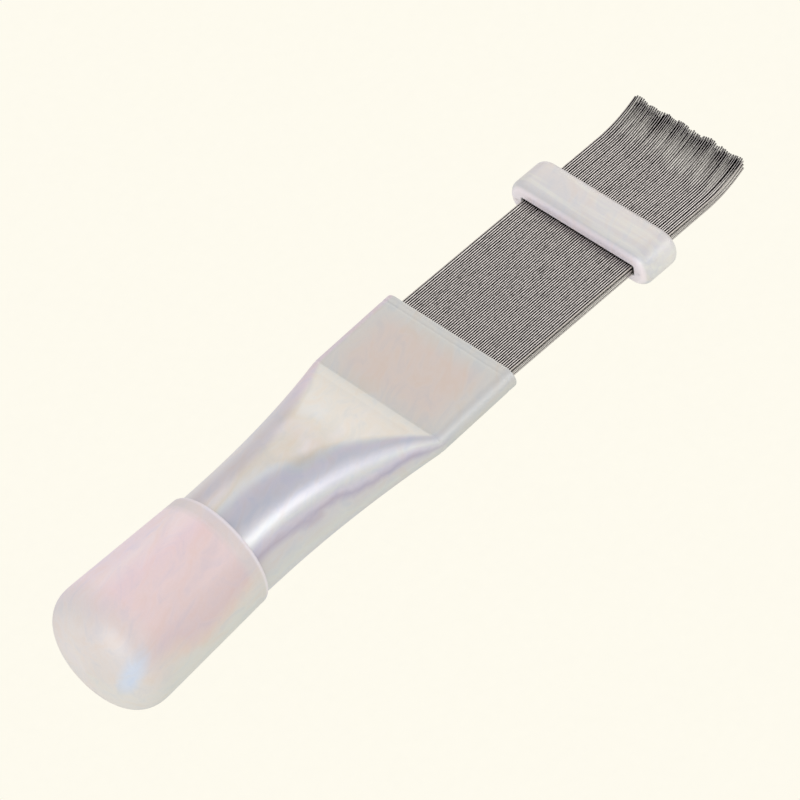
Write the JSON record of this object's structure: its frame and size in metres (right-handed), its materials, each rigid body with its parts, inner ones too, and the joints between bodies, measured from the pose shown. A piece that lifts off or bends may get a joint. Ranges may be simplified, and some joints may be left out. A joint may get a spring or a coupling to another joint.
{
  "type": "wire comb",
  "caption": "Hand comb with a flat sheaf of fine steel wires turned up at the tips, set in a flattened tube handle with a domed end cap and a band that slides along the wires.",
  "frame": {"origin": "centre of the whole tool's bounding box, on the tube's axis", "axes": "+X along the tube's axis from the end cap to the wire tips, +Z square to the flat ferrule on the side the wire tips turn up to, +Y across the ferrule"},
  "size_m": [0.2012, 0.0436, 0.0326],
  "materials": {
    "cap_plastic": "satin pearl",
    "sleeve_coat": "satin pearl lacquer on a rolled tube",
    "band_plastic": "satin pearl",
    "wire_steel": "bright drawn spring steel",
    "resin": "cast epoxy"
  },
  "bodies": {
    "handle": {"sleeve": "sleeve_coat", "end_cap": "cap_plastic", "resin_plug": "resin", "wires_row1_a": "wire_steel", "wires_row1_b": "wire_steel", "wires_row1_c": "wire_steel", "wires_row1_d": "wire_steel", "wires_row2_a": "wire_steel", "wires_row2_b": "wire_steel", "wires_row2_c": "wire_steel", "wires_row2_d": "wire_steel", "wires_row3_a": "wire_steel", "wires_row3_b": "wire_steel", "wires_row3_c": "wire_steel", "wires_row3_d": "wire_steel", "wires_row4_a": "wire_steel", "wires_row4_b": "wire_steel", "wires_row4_c": "wire_steel", "wires_row4_d": "wire_steel", "wires_row5_a": "wire_steel", "wires_row5_b": "wire_steel", "wires_row5_c": "wire_steel", "wires_row5_d": "wire_steel"},
    "slider": {"slide_band": "band_plastic"}
  },
  "joints": [
    {"name": "band_slide", "type": "slide", "parent": "handle", "child": "slider", "axis": [0.9984, 0, -0.0558], "range_m": [-0.041, 0.014]}
  ]
}
